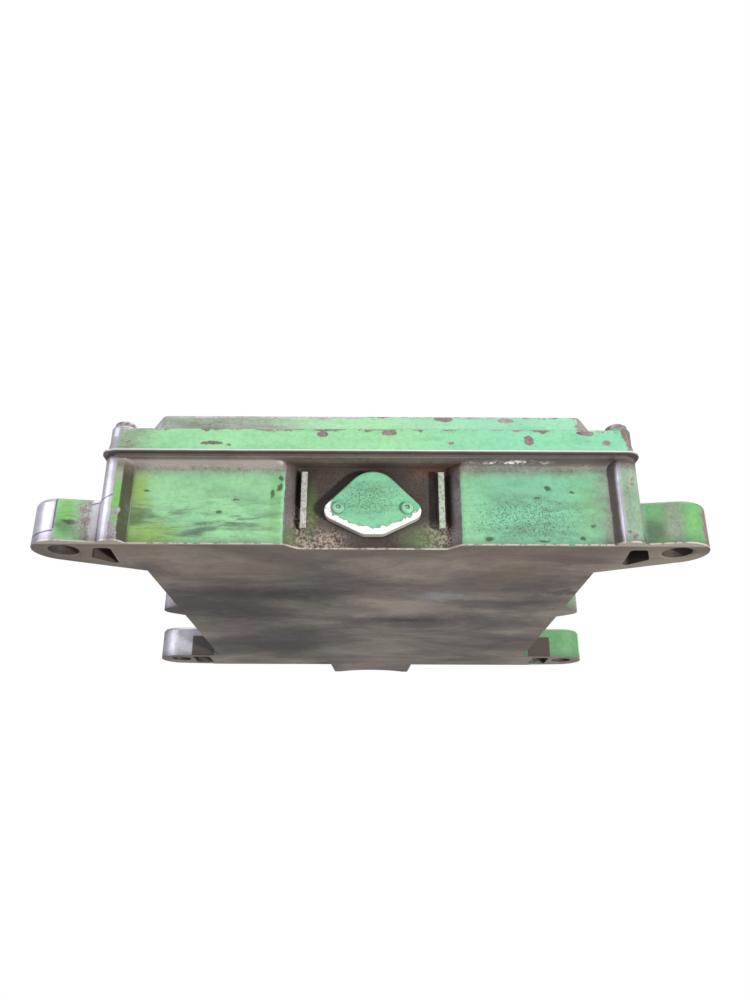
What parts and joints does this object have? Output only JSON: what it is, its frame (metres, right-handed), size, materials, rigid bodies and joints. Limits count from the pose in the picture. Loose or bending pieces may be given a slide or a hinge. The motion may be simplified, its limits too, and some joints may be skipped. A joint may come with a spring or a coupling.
{
  "type": "sealed electronic control unit",
  "caption": "Sealed electronic control unit for railway or other heavy vehicles: painted cast case with corner mounting lugs, bolted lid, breather plate and rear multi-pin connectors.",
  "frame": {"origin": "centre of the four lug bores on the mounting face", "axes": "+Z out of the cover, away from the mounting face; -Y towards the recessed end with the breather port; X across the lugs"},
  "size_m": [0.3016, 0.3058, 0.0681],
  "materials": {
    "painted_casting": "worn green enamel over cast aluminium, bare and stained at edges and on the mounting face",
    "port_paint": "green enamel over white primer, chipped along the lower edge",
    "zinc_steel": "zinc plated, dulled",
    "spring_steel": "rolled",
    "plate_metal": "brushed, anodised",
    "seal_rubber": "matt",
    "flange_rubber": "silicone",
    "black_plastic": "moulded, fine grain",
    "chip_plastic": "moulding compound",
    "film_plastic": "dipped",
    "membrane": "porous film",
    "brass": "turned",
    "contact_metal": "gold flashed",
    "board_laminate": "solder mask over glass laminate",
    "thermal_silicone": "filled silicone",
    "can_metal": "drawn can",
    "ferrite": "sintered",
    "copper_wire": "enamelled wire"
  },
  "bodies": {
    "root": {"housing": "painted_casting", "cover": "painted_casting", "cover_gasket": "seal_rubber", "cover_screws": "zinc_steel", "rating_plate": "plate_metal", "plate_rivets": "can_metal", "port_plate": "port_paint", "port_gasket": "seal_rubber", "port_screws": "zinc_steel", "vent_membrane": "membrane", "vent_ring": "black_plastic", "connector_a_shell": "black_plastic", "connector_a_pins": "contact_metal", "connector_a_insert": "brass", "connector_a_seal": "flange_rubber", "connector_b_shell": "black_plastic", "connector_b_pins": "contact_metal", "connector_b_insert": "brass", "connector_b_seal": "flange_rubber", "connector_screws": "zinc_steel", "main_board": "board_laminate", "board_screws": "zinc_steel", "thermal_pads": "thermal_silicone", "processor": "chip_plastic", "memory_chips": "chip_plastic", "driver_chips": "chip_plastic", "crystal": "can_metal", "electrolytic_capacitors": "can_metal", "film_capacitors": "film_plastic", "inductor_cores": "ferrite", "inductor_windings": "copper_wire", "battery_holder": "black_plastic", "backup_battery": "can_metal", "pressure_sensor": "chip_plastic", "service_header": "black_plastic", "small_components": "ferrite", "insulating_strip": "thermal_silicone", "transistor_clamp": "spring_steel", "power_transistors": "chip_plastic", "clamp_screws": "zinc_steel"}
  },
  "joints": []
}
